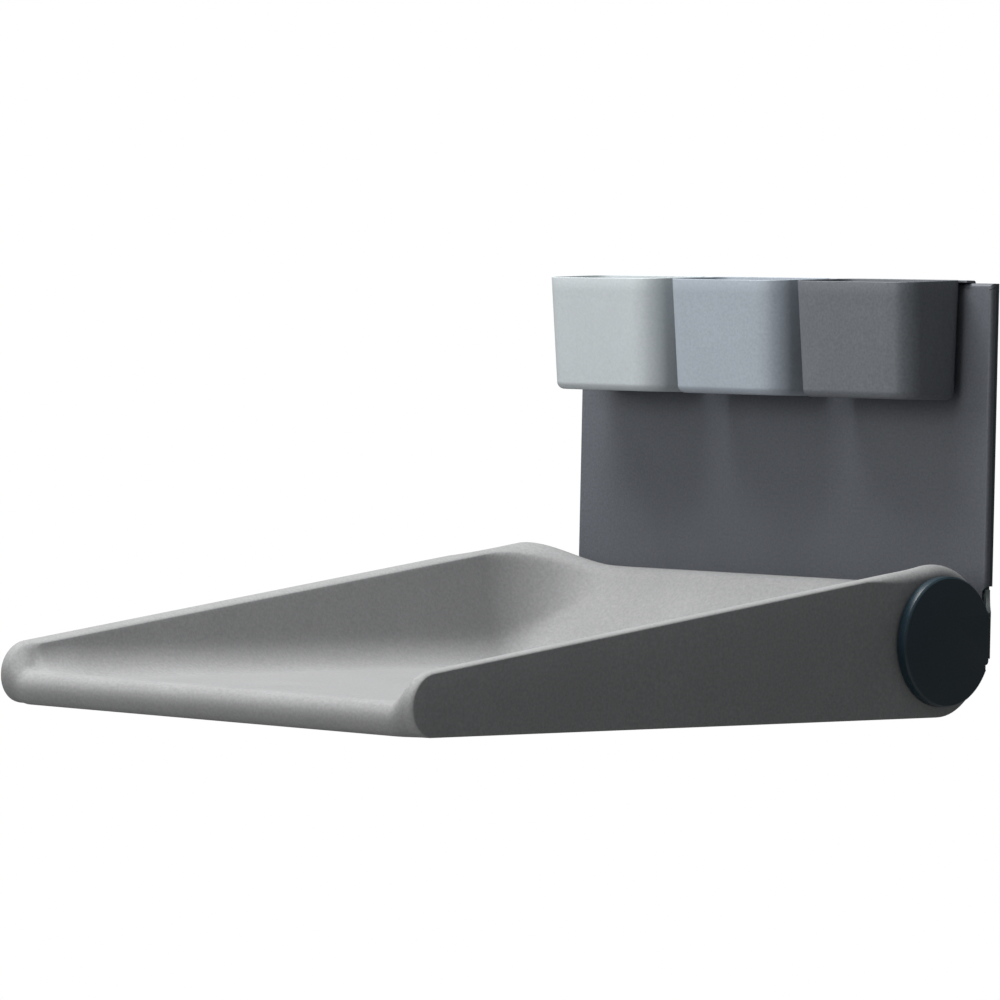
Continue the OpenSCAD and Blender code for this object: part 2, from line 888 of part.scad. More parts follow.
// How much narrower the tray is at u than over its rear
function narrowing(u) = 1 - side_draw / tray_side * (u + end_r) / (tray_l + end_r);

module foam_block() {
    outlines = [for (x = columns) outline(abs(x))];
    n = len(outlines[0]);
    last = len(columns) - 1;
    points = [for (i = [0:last]) for (p = outlines[i]) [columns[i] * narrowing(p[0]), -p[0], p[1]]];
    polyhedron(points, concat(
        [for (i = [0:last - 1]) for (j = [0:n - 1]) [i * n + j, i * n + (j + 1) % n, (i + 1) * n + j]],
        [for (i = [0:last - 1]) for (j = [1:n]) [i * n + j % n, (i + 1) * n + j % n, (i + 1) * n + j - 1]],
        [[for (j = [0:n - 1]) n - 1 - j], [for (j = [0:n - 1]) last * n + j]]));
}

// Hollows that the foam leaves for the frame
module frame_hollows() {
    both_sides() {
        rod(hub_r + recess_wall, hub_out, tray_side + cut);
        rod(hub_r + foam_gap, hub_in - foam_gap, hub_out + cut);
        rod(sleeve_d / 2 + foam_gap, sleeve_in - foam_gap, hub_out);
        block([hub_in - foam_gap, frame_end - tray_l - foam_gap, cross_low - foam_gap],
              [hub_out + foam_gap, 0, arm_bar_high + foam_gap]);
        for (u = cross_bar_us)
            translate([0, -u, cross_mid])
                rod(m5_head_r + foam_gap, hub_in, hub_out + m5_head_h + foam_gap);
    }
    for (u = cross_bar_us)
        block([-hub_in, -u - cross_bar_w / 2 - foam_gap, cross_low - foam_gap],
              [hub_in, -u + cross_bar_w / 2 + foam_gap, cross_high + foam_gap]);
    board_shape(foam_gap);
}

module tray_body() {
    color(foam_grey)
        at_axis()
            difference() {
                foam_block();
                frame_hollows();
            }
}

// Containers that hang on the panel's top edge
bin_w = (panel_w - 2 * bin_margin - 2 * bin_gap) / 3;
bin_side = bin_w / 2;
bin_pitch = bin_w + bin_gap;
bin_back_gap = 3;
bin_back = panel_off + bin_back_gap;
lip_step = 0.3;
lip_top = panel_top + part_gap + hook_t;
bin_top = lip_top + lip_step;
bin_bottom = bin_top - bin_h;
hook_front = plate_t - part_gap / 2;
spacer_w = 14;
spacer_h = 20;
spacer_up = 14;
corner_steps = 8;
foot_angles = [90, 60, 30, 0];

// A quarter circle of points about [x, y], starting at the angle from
function quarter(x, y, r, from) =
    [for (i = [0:corner_steps]) let (t = from + 90 * i / corner_steps) [x + r * cos(t), y + r * sin(t)]];

// A container's outline at height z. The share taper is 1 at the foot and 0 at the rim, which dips towards the front.
function bin_ring(z, taper, inset) =
    let (side = bin_side - bin_taper * taper,
         front_x = side - bin_corner_r,
         front_y = front_taper * taper + bin_corner_r - bin_back - bin_d,
         back_x = side - bin_back_r,
         back_y = -bin_back - bin_back_r,
         points = concat(quarter(front_x, front_y, bin_corner_r - inset, -90),
                         quarter(back_x, back_y, bin_back_r - inset, 0),
                         quarter(-back_x, back_y, bin_back_r - inset, 90),
                         quarter(-front_x, front_y, bin_corner_r - inset, 180)))
    [for (p = points) [p[0], p[1], z + bin_dip * (1 - taper) * (p[1] + bin_back) / bin_d]];

function foot_ring(t, inset) =
    let (r = bin_foot_r - inset)
    bin_ring(bin_bottom + bin_foot_r - r * sin(t), 1, inset + r * (1 - cos(t)));

// Outside from the foot up, over the rim, and down the inside
module bin_shell() {
    steps = len(foot_angles);
    rings = concat([for (t = foot_angles) foot_ring(t, 0)],
                   [bin_ring(bin_top, 0, 0), bin_ring(bin_top, 0, bin_wall)],
                   [for (i = [1:steps]) foot_ring(foot_angles[steps - i], bin_wall)]);
    n = len(rings[0]);
    last = len(rings) - 1;
    polyhedron([for (ring = rings) each ring], concat(
        [for (i = [0:last - 1]) for (j = [0:n - 1]) [i * n + j, (i + 1) * n + j, i * n + (j + 1) % n]],
        [for (i = [0:last - 1]) for (j = [1:n]) [i * n + j % n, (i + 1) * n + j - 1, (i + 1) * n + j % n]],
        [[for (j = [0:n - 1]) j], [for (j = [0:n - 1]) last * n + n - 1 - j]]));
}

module container() {
    bin_shell();
    for (x = [-bin_w / 4, bin_w / 4])
        block([x - spacer_w / 2, -bin_back - bin_wall / 2, bin_bottom + spacer_up],
              [x + spacer_w / 2, -panel_off - part_gap, bin_bottom + spacer_up + spacer_h]);
    block([-bin_side - hook_reach, -bin_back - bin_wall / 2, lip_top - hook_t],
          [bin_side + hook_reach, hook_t - hook_front, lip_top]);
    block([-bin_side - hook_reach, -hook_front, panel_top - hook_drop],
          [bin_side + hook_reach, hook_t - hook_front, lip_top]);
}

module light_container() {
    color([0.78, 0.81, 0.81])
        translate([-bin_pitch, 0, 0])
            container();
}

module middle_container() {
    color([0.63, 0.66, 0.69])
        container();
}

module dark_container() {
    color([0.42, 0.44, 0.46])
        translate([bin_pitch, 0, 0])
            container();
}

wall_plate();
front_panel();
panel_screws();
left_bracket();
right_bracket();
bracket_screws();
left_cover();
right_cover();
cover_screws();
left_axle();
right_axle();
axle_screws();
left_stop_pin();
right_stop_pin();
left_bush();
right_bush();
left_friction_lining();
right_friction_lining();
left_disc_spring();
right_disc_spring();
left_tray_arm();
right_tray_arm();
front_cross_bar();
rear_cross_bar();
frame_screws();
base_board();
tray_body();
light_container();
middle_container();
dark_container();
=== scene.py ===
import math

import bmesh
import bpy
import numpy as np
from mathutils import Matrix, Vector


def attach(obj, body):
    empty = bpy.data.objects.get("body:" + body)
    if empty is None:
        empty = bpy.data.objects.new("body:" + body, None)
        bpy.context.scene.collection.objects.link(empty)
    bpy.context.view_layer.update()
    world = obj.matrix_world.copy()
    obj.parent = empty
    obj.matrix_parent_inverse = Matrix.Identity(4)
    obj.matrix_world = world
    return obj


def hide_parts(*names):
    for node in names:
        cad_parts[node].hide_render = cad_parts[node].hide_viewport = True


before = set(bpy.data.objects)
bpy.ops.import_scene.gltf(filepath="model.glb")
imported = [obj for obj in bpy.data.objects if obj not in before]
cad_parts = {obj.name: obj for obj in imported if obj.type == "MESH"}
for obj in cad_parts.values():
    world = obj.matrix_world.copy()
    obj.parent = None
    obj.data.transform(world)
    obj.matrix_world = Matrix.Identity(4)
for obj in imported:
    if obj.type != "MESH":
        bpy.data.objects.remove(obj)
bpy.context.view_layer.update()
scene = bpy.context.scene

MM = 0.001

# Sizes of the part in millimetres, as in its source
TRAY_W, SIDE_DRAW, TRAY_L, END_R, END_EDGE_R = 600.0, 8.0, 719.5, 76.0, 12.8
RIM_FRONT_H, LIP_H, FLOOR_T, RIDGE_H = 58.0, 33.0, 26.0, 130.0
RIM_OUT, CROWN_OUT, RIM_IN, CROWN_IN, DRAFT, FILLET = 6.0, 3.0, 16.0, 4.5, 10.0, 40.0
REAR_SLOPE, REAR_FOOT, RIDGE_BACK, CORNER_R = 54.0, 44.0, 42.0, 116.0
DECK_FROM, DECK_RUN = 200.0, 78.0
NOSE_R, NOSE_SHARE, UNDER_SHARE = 32.0, 0.48, 0.3
PANEL_W, PANEL_H, PANEL_OFF, SHEET_T, BEND_R, PLATE_T, NOTCH_H = 576.0, 377.0, 11.0, 1.5, 4.0, 4.0, 73.0
HINGE_UP, END_GAP, GAP = 20.0, 3.5, 0.3
NOTCH_R, SLIT_W, SLIT_DROP, SLIT_RISE, SCREW_HOLE_R = 5.0, 0.8, 6.5, 4.0, 2.25
ARM_UP, ARM_DOWN = 27.0, 18.0
COVER_GAP, COVER_BACK, COVER_TAB_R = 1.0, 31.0, 4.0
BIN_MARGIN, BIN_GAP, BIN_OFF, BIN_RISE = 33.0, 18.0, 3.0, 0.3
BIN_D, BIN_H, BIN_WALL, BIN_TAPER, FRONT_TAPER = 93.0, 121.0, 2.5, 3.0, 8.4
BIN_CORNER, BIN_BACK_R, BIN_FOOT, BIN_DIP = 26.0, 17.0, 8.0, 4.0
HOOK_T, HOOK_DROP, HOOK_REACH = 2.5, 10.0, 3.0
SPACER_W, SPACER_H, SPACER_UP = 14.0, 20.0, 14.0

# The covers' face and straight rim are larger here than in the source, which has a wide chamfer instead
COVER_R, COVER_T, COVER_FACE_R, COVER_RIM, COVER_WALL, COVER_DROP = 65.0, 11.0, 63.2, 9.2, 2.2, 3.5

# Edge rounding of the dressed pieces, and how far cutting tools overrun
SHEET_EDGE, COVER_EDGE, HOOK_EDGE, SPACER_EDGE, RIM_EDGE = 0.22, 0.4, 0.4, 0.8, 0.55
CUT, FAR_CUT = 1.0, 400.0

PANEL_TOP = PANEL_H / 2
PANEL_BOTTOM = -PANEL_TOP
HINGE_Z = PANEL_BOTTOM + HINGE_UP
AXIS_OUT = PANEL_OFF + END_GAP + END_R
SIDE = TRAY_W / 2


# Meshes

def make_object(name, verts, faces, smooth=True, scale=MM):
    mesh = bpy.data.meshes.new(name)
    mesh.from_pydata([tuple(v) for v in np.asarray(verts, float) * scale], [], faces)
    mesh.validate()
    mesh.update()
    if smooth:
        mesh.polygons.foreach_set("use_smooth", [True] * len(mesh.polygons))
    obj = bpy.data.objects.new(name, mesh)
    scene.collection.objects.link(obj)
    return obj


def fix_normals(obj):
    bm = bmesh.new()
    bm.from_mesh(obj.data)
    bmesh.ops.recalc_face_normals(bm, faces=bm.faces)
    bm.to_mesh(obj.data)
    bm.free()


def shade(obj, angle=50.0):
    """Smooth shading that keeps the edges sharper than angle."""
    obj.data.polygons.foreach_set("use_smooth", [True] * len(obj.data.polygons))
    obj.data.set_sharp_from_angle(angle=math.radians(angle))


def arc(start, stop, count):
    """That many angles from start to stop, given in degrees."""
    return np.radians(np.linspace(start, stop, count))


def loft(name, rings):
    """A closed skin through rings of equally many points, with both ends capped."""
    n, last = len(rings[0]), len(rings) - 1
    faces = [(i * n + j, i * n + (j + 1) % n, (i + 1) * n + (j + 1) % n, (i + 1) * n + j)
             for i in range(last) for j in range(n)]
    faces += [tuple(range(n - 1, -1, -1)), tuple(last * n + j for j in range(n))]
    obj = make_object(name, np.concatenate(rings), faces)
    fix_normals(obj)
    return obj


def apply_modifiers(obj):
    graph = bpy.context.evaluated_depsgraph_get()
    mesh = bpy.data.meshes.new_from_object(obj.evaluated_get(graph))
    obj.modifiers.clear()
    obj.data = mesh


def drop(obj):
    bpy.data.objects.remove(obj)


def boolean(obj, tool, operation="DIFFERENCE"):
    mod = obj.modifiers.new("cut", "BOOLEAN")
    mod.operation = operation
    mod.solver = "EXACT"
    mod.object = tool
    apply_modifiers(obj)
    drop(tool)


def turned_mesh(name, profile, y, z, steps):
    """A solid turned about the line along X at y and z; profile holds (x, radius) pairs."""
    turn = np.arange(steps) * 2 * math.pi / steps
    return loft(name, [[(x, y + r * math.cos(t), z + r * math.sin(t)) for t in turn] for x, r in profile])


def rod_mesh(r, x0, x1, y, z, steps):
    return turned_mesh("tool", [(x0, r), (x1, r)], y, z, steps)


def block_mesh(low, high):
    verts = [(x, y, z) for x in (low[0], high[0]) for y in (low[1], high[1]) for z in (low[2], high[2])]
    faces = [(0, 1, 3, 2), (4, 6, 7, 5), (0, 4, 5, 1), (2, 3, 7, 6), (0, 2, 6, 4), (1, 5, 7, 3)]
    obj = make_object("tool", verts, faces, smooth=False)
    fix_normals(obj)
    return obj


def bevel(obj, width, segments, angle):
    mod = obj.modifiers.new("edges", "BEVEL")
    mod.width = width * MM
    mod.segments = segments
    mod.limit_method = "ANGLE"
    mod.angle_limit = math.radians(angle)
    mod.use_clamp_overlap = True
    apply_modifiers(obj)
    shade(obj, angle)


def mirror_x(obj):
    obj.data.transform(Matrix.Scale(-1, 4, Vector((1, 0, 0))))
    obj.data.flip_normals()


def join(obj, parts):
    bm = bmesh.new()
    bm.from_mesh(obj.data)
    for part in parts:
        bm.from_mesh(part.data)
    bm.to_mesh(obj.data)
    bm.free()
    for part in parts:
        drop(part)
    obj.data.update()


# Tray: a is the distance from its middle, u that in front of the hinge axis, and z the height over the axis

RIM_LINE = SIDE - RIM_OUT
FLOOR_Z = FLOOR_T - END_R
RIDGE_Z = RIDGE_H - END_R
LIP_Z = LIP_H - END_R
RIM_FRONT_Z = RIM_FRONT_H - END_R
CORNER_A = RIM_LINE - CORNER_R
CORNER_U = CORNER_R - RIDGE_BACK
RIM_FALL = math.pi / 2 - math.atan2(RIM_FRONT_Z, TRAY_L) - math.acos(END_R / math.hypot(TRAY_L, RIM_FRONT_Z))
LIP_RUN, LIP_RELAX = 100.0, 36.0
LIP_IN, LIP_CROWN, LIP_DRAFT, LIP_FILLET = 9.0, 5.0, 35.0, 14.0
EDGE_BLEND_FROM, EDGE_BLEND_RUN, EDGE_TURN = 50.0, 60.0, 75.0
RIDGE_BLEND, FOOT_BLEND, END_BLEND, LEAST_BLEND = 14.0, 34.0, 6.0, 0.01
FILLET_LIMIT_SHARE = 0.95
COLUMN_REACH, ROW_REACH, CROWN_TURN, COLUMN_POWER = 130.0, 12.0, 88.0, 1.35

# Steps of the tray's outline, from under the axis round its rear and over the top to the nose and back
UNDER_STEPS, END_STEPS, REAR_STEPS, LONG_STEPS, LIP_STEPS, NOSE_STEPS, BACK_STEPS = 20, 52, 46, 26, 26, 10, 9
CREST_COLUMNS, CROWN_COLUMNS, WALL_COLUMNS, FLOOR_COLUMNS = 12, 14, 52, 9

# Recesses in each side of the tray for the friction parts, the hub plate and the sleeve: radius, from, to
RECESSES = ((55.0, 289.0, 303.0), (50.2, 283.8, 290.0), (19.2, 251.8, 285.0))
RECESS_STEPS = 96


def ease(t):
    c = np.clip(t, 0, 1)
    return c * c * (3 - 2 * c)


def mix(p, q, t):
    return p + (q - p) * t


def soft_min(p, q, k):
    h = np.maximum(k - np.abs(p - q), 0) / k
    return np.minimum(p, q) - h * h * k / 4


def soft_max(p, q, k):
    return -soft_min(-p, -q, k)


def side_inset(a):
    """How far the rim's crest has fallen towards the outside at a."""
    t = np.maximum(0, a - RIM_LINE) / RIM_OUT
    return CROWN_OUT * (1 - np.sqrt(np.maximum(0, 1 - t ** 2)))


def end_inset(a):
    """How far the rounded end has drawn in at a."""
    t = np.maximum(0, a - SIDE + END_EDGE_R)
    return END_EDGE_R - np.sqrt(np.maximum(0, END_EDGE_R ** 2 - t ** 2))


def rim_z(u, inset):
    """Height of the rim's crest: round the hinge axis, then straight down to the front."""
    r = END_R - inset
    rounded = np.sqrt(np.maximum(0, r * r - u * u))
    return np.where(u < r * math.sin(RIM_FALL), rounded, r / math.cos(RIM_FALL) - u * math.tan(RIM_FALL))


def rim_at(a, u):
    return rim_z(u, mix(end_inset(a), side_inset(a), ease((u - EDGE_BLEND_FROM) / EDGE_BLEND_RUN)))


def floor_at(u):
    return mix(FLOOR_Z, LIP_Z, ease((u - TRAY_L + LIP_RUN) / (LIP_RUN - LIP_H / 2)))


def side_z(s, rim, bed, spread):
    """Crest, leaning wall, fillet and floor at the distance s inside the rim line.

    Where spread is 1, along the front lip, the wall leans out.
    """
    rim_in, crown = mix(RIM_IN, LIP_IN, spread), mix(CROWN_IN, LIP_CROWN, spread)
    draft = np.radians(mix(DRAFT, LIP_DRAFT, spread))
    sin_d, cos_d, tan_d = np.sin(draft), np.cos(draft), np.tan(draft)
    turn = np.arctan(rim_in / crown / tan_d)
    wall_s = rim_in * np.sin(turn)
    wall_z = rim - crown * (1 - np.cos(turn))
    drop_z = wall_z - bed
    r = np.minimum(mix(FILLET, LIP_FILLET, spread), FILLET_LIMIT_SHARE * drop_z / (1 - sin_d))
    end_s = wall_s + drop_z * tan_d + r * (1 - sin_d) / cos_d
    crest = rim - crown * (1 - np.sqrt(np.maximum(0, 1 - (s / rim_in) ** 2)))
    wall = wall_z - (s - wall_s) / tan_d
    fillet = bed + r - np.sqrt(np.maximum(0, r * r - (end_s - s) ** 2))
    z = np.where(s < end_s, fillet, bed)
    z = np.where(s < end_s - r * cos_d, wall, z)
    z = np.where(s < wall_s, crest, z)
    return np.where(s <= 0, rim, z)


def rear_z(a, u):
    """Ridge, rear wall and floor at the distance u; the ridge climbs towards the sides."""
    deck = mix(RIDGE_Z, END_R, (np.maximum(0, a - DECK_FROM) / DECK_RUN) ** 2)
    slope = FLOOR_Z + (REAR_FOOT - u) * math.tan(math.radians(REAR_SLOPE))
    return soft_max(FLOOR_Z, soft_min(deck, slope, RIDGE_BLEND), FOOT_BLEND)


def top_z(a, u):
    """Height of the tray's top; turn says how far round a rear corner a point lies."""
    rim = rim_at(a, u)
    bed = floor_at(u)
    p = np.maximum(0, a - CORNER_A)
    q = np.maximum(0, CORNER_U - u)
    depth = CORNER_R - np.hypot(p, q)
    straight = (a <= CORNER_A) | (u >= CORNER_U)
    s = np.where(straight, RIM_LINE - a, depth)
    back = np.where(a <= CORNER_A, u, depth - RIDGE_BACK)
    turn = np.where(u >= CORNER_U, 0, np.where(a <= CORNER_A, 1, ease(np.degrees(np.arctan2(q, p)) / 90)))
    spread = ease((u - TRAY_L + LIP_RELAX) / (LIP_RELAX - LIP_H / 2))
    z = mix(side_z(s, rim, bed, spread), rear_z(a, back), turn)
    return soft_min(rim, z, np.maximum(LEAST_BLEND, END_BLEND * turn))


def tray_outline(a):
    """The tray's closed outline in the plane at a, as rows of u and z."""
    inset = float(side_inset(a))
    r = END_R - float(end_inset(a))
    low = END_R - UNDER_SHARE * inset
    front = TRAY_L - inset
    nose = min(NOSE_R, NOSE_SHARE * (float(top_z(a, np.array(front))) + END_R - inset))
    rows_u, lip_u = CORNER_U + ROW_REACH, TRAY_L - LIP_RUN
    t = 90 * np.arange(UNDER_STEPS) / UNDER_STEPS
    turn_r = mix(low, r, ease(t / EDGE_TURN))
    u = [-turn_r * np.sin(np.radians(t))]
    z = [-turn_r * np.cos(np.radians(t))]
    t = np.radians(90 * np.arange(END_STEPS + 1) / END_STEPS)
    tops = [-r * np.cos(t), rows_u * np.arange(1, REAR_STEPS + 1) / REAR_STEPS,
            mix(rows_u, lip_u, np.arange(1, LONG_STEPS + 1) / LONG_STEPS),
            mix(lip_u, front - nose, np.arange(1, LIP_STEPS + 1) / LIP_STEPS)]
    for part in tops:
        u.append(part)
        z.append(top_z(a, part))
    t = np.radians(90 * np.arange(1, NOSE_STEPS + 1) / NOSE_STEPS)
    part = front - nose * (1 - np.sin(t))
    u.append(part)
    z.append(top_z(a, part) - nose * (1 - np.cos(t)))
    t = np.radians(90 * np.arange(NOSE_STEPS + 1) / NOSE_STEPS)
    u.append(front - nose * (1 - np.cos(t)))
    z.append(nose * (1 - np.sin(t)) - mix(END_R - inset, low, np.sin(t)))
    u.append((front - nose) * (1 - np.arange(1, BACK_STEPS) / BACK_STEPS))
    z.append(np.full(BACK_STEPS - 1, -low))
    return np.concatenate(u), np.concatenate(z)


def build_tray():
    half = list(RIM_LINE + RIM_OUT * np.cos(np.radians(90 * np.arange(CREST_COLUMNS + 1) / CREST_COLUMNS)))
    turn = np.radians(CROWN_TURN * np.arange(1, CROWN_COLUMNS + 1) / CROWN_COLUMNS)
    half += list(RIM_LINE - RIM_IN * np.sin(turn))
    spacing = (np.arange(1, WALL_COLUMNS + 1) / WALL_COLUMNS) ** COLUMN_POWER
    half += list(RIM_LINE - mix(RIM_IN, COLUMN_REACH, spacing))
    half += list(np.linspace(half[-1], 0, FLOOR_COLUMNS)[1:])
    rings = []
    for x in [-a for a in half] + half[-2::-1]:
        u, z = tray_outline(abs(x))
        narrow = 1 - SIDE_DRAW / SIDE * (u + END_R) / (TRAY_L + END_R)
        rings.append(np.stack([x * narrow, -AXIS_OUT - u, HINGE_Z + z], 1))
    tray = loft("tray_foam", rings)
    for sign in (-1, 1):
        for r, x0, x1 in RECESSES:
            lo, hi = sorted((sign * x0, sign * x1))
            boolean(tray, rod_mesh(r, lo, hi, -AXIS_OUT, HINGE_Z, RECESS_STEPS))
    shade(tray)
    return tray


# Containers

BIN_W = (PANEL_W - 2 * BIN_MARGIN - 2 * BIN_GAP) / 3
BIN_BACK = PANEL_OFF + BIN_OFF
LIP_TOP = PANEL_TOP + GAP + HOOK_T
BIN_TOP = LIP_TOP + BIN_RISE
BIN_BOTTOM = BIN_TOP - BIN_H

# How far the hook's top and the spacers are sunk in the container's back, and the steps of its rounded edges
HOOK_SINK, SPACER_SINK = 1.3, 1.2
CORNER_ARC, FOOT_STEPS, SIDE_STEPS, EDGE_STEPS, HOOK_STEPS = 14, 11, 9, 5, 9


def bin_ring(z, taper, inset):
    """An outline at height z; taper runs from 0 at the rim to 1 at the foot, and the rim dips to the front."""
    side, out = BIN_W / 2 - BIN_TAPER * taper, []
    fx, fy = side - BIN_CORNER, FRONT_TAPER * taper + BIN_CORNER - BIN_BACK - BIN_D
    bx, by = side - BIN_BACK_R, -BIN_BACK - BIN_BACK_R
    for cx, cy, r, start in ((fx, fy, BIN_CORNER, -90), (bx, by, BIN_BACK_R, 0), (-bx, by, BIN_BACK_R, 90),
                             (-fx, fy, BIN_CORNER, 180)):
        for t in np.radians(start + 90 * np.arange(CORNER_ARC + 1) / CORNER_ARC):
            y = cy + (r - inset) * math.sin(t)
            out.append((cx + (r - inset) * math.cos(t), y, z - BIN_DIP * (1 - taper) * (-BIN_BACK - y) / BIN_D))
    return out


def build_container(name, shift):
    """A container with its hook lip over the panel's edge and two spacers low on its back."""
    low, inner = BIN_BOTTOM + BIN_FOOT, BIN_FOOT - BIN_WALL
    edge_z = BIN_TOP - RIM_EDGE
    heights = np.linspace(0, 1, SIDE_STEPS)[1:-1]
    rings = [bin_ring(low - BIN_FOOT * math.sin(t), 1, BIN_FOOT * (1 - math.cos(t)))
             for t in arc(90, 0, FOOT_STEPS)]
    rings += [bin_ring(mix(low, edge_z, k), 1 - k, 0) for k in heights]
    rings += [bin_ring(BIN_TOP - RIM_EDGE * (1 - math.sin(t)), 0, RIM_EDGE * (1 - math.cos(t)))
              for t in arc(0, 90, EDGE_STEPS)]
    rings += [bin_ring(BIN_TOP - RIM_EDGE * (1 - math.sin(t)), 0, BIN_WALL - RIM_EDGE * (1 - math.cos(t)))
              for t in arc(90, 0, EDGE_STEPS)]
    rings += [bin_ring(mix(low, edge_z, k), 1 - k, BIN_WALL) for k in heights[::-1]]
    rings += [bin_ring(low - inner * math.sin(t), 1, BIN_WALL + inner * (1 - math.cos(t)))
              for t in arc(0, 90, FOOT_STEPS)]
    obj = loft(name, [np.array(ring) + np.array([shift, 0, 0]) for ring in rings])
    shade(obj)
    half = BIN_W / 2 + HOOK_REACH
    front, back = PLATE_T - GAP / 2, PLATE_T - GAP / 2 - HOOK_T
    r = HOOK_T
    section = [(-BIN_BACK - HOOK_SINK, LIP_TOP), (-back - r, LIP_TOP)]
    section += [(-back - r + r * math.sin(t), LIP_TOP - r + r * math.cos(t)) for t in arc(10, 90, HOOK_STEPS)]
    section += [(-back, PANEL_TOP - HOOK_DROP), (-front, PANEL_TOP - HOOK_DROP), (-front, LIP_TOP - HOOK_T),
                (-BIN_BACK - HOOK_SINK, LIP_TOP - HOOK_T)]
    hook = loft("hook", [[(x, y, z) for y, z in section] for x in (shift - half, shift + half)])
    bevel(hook, HOOK_EDGE, segments=3, angle=40)
    parts = [hook]
    foot = BIN_BOTTOM + SPACER_UP
    for x in (shift - BIN_W / 4, shift + BIN_W / 4):
        spacer = block_mesh((x - SPACER_W / 2, -BIN_BACK - SPACER_SINK, foot),
                            (x + SPACER_W / 2, -PANEL_OFF - GAP, foot + SPACER_H))
        bevel(spacer, SPACER_EDGE, segments=3, angle=35)
        parts.append(spacer)
    join(obj, parts)
    return obj


# Panel

BEND_SEGMENTS, NOTCH_STEPS, HOLE_STEPS, SAME_PLACE = 7, 48, 32, 1e-6


def rounded_slab(inset, r, back):
    """The panel's outside, or its inside when inset: a slab with its four front edges rounded."""
    half = PANEL_W / 2 - inset
    obj = block_mesh((-half, -PANEL_OFF + inset, PANEL_BOTTOM + inset), (half, back, PANEL_TOP - inset))
    bm = bmesh.new()
    bm.from_mesh(obj.data)
    front = (-PANEL_OFF + inset) * MM
    edges = [e for e in bm.edges if all(abs(v.co.y - front) < SAME_PLACE for v in e.verts)]
    bmesh.ops.bevel(bm, geom=edges, offset=r * MM, segments=BEND_SEGMENTS, affect="EDGES", profile=0.5)
    bm.to_mesh(obj.data)
    bm.free()
    return obj


def build_panel():
    flange_back = PLATE_T + GAP
    panel = rounded_slab(0, BEND_R, -flange_back)
    panel.name = "panel_sheet"
    boolean(panel, rounded_slab(SHEET_T, BEND_R - SHEET_T, 0.0))
    notch_side = PANEL_W / 2 - BEND_R
    notch_top = PANEL_BOTTOM + NOTCH_H
    for sign in (-1, 1):
        x0, x1 = sorted((sign * notch_side, sign * PANEL_W))
        boolean(panel, block_mesh((x0, -PANEL_OFF - CUT, -PANEL_H), (x1, CUT, notch_top - NOTCH_R)))
        boolean(panel, block_mesh((x0, -PANEL_OFF + NOTCH_R, -PANEL_H + CUT), (x1, 2 * CUT, notch_top)))
        boolean(panel, rod_mesh(NOTCH_R, x0, x1, -PANEL_OFF + NOTCH_R, notch_top - NOTCH_R, NOTCH_STEPS))
        slit = block_mesh((0, -PANEL_OFF, -SLIT_W / 2), (PANEL_OFF, PANEL_OFF, SLIT_W / 2))
        slit.data.transform(Matrix.Rotation(math.atan2(SLIT_RISE, PANEL_OFF - flange_back), 4, "X"))
        slit.data.transform(Matrix.Translation(Vector((notch_side, -PANEL_OFF, PANEL_TOP - SLIT_DROP)) * MM))
        if sign < 0:
            mirror_x(slit)
        boolean(panel, slit)
    hole_y = -(PANEL_OFF - SHEET_T - GAP + PLATE_T) / 2
    for x in (-PANEL_W / 3, 0, PANEL_W / 3):
        hole = rod_mesh(SCREW_HOLE_R, -PANEL_OFF, PANEL_OFF, 0, 0, HOLE_STEPS)
        hole.data.transform(Matrix.Rotation(math.radians(90), 4, "Y"))
        hole.data.transform(Matrix.Translation(Vector((x, hole_y, PANEL_BOTTOM)) * MM))
        boolean(panel, hole)
    bevel(panel, SHEET_EDGE, segments=2, angle=40)
    return panel


# Covers

COVER_STEPS, TAB_STEPS, CORNER_STEPS, CORNER_CUT = 160, 9, 64, 5.0


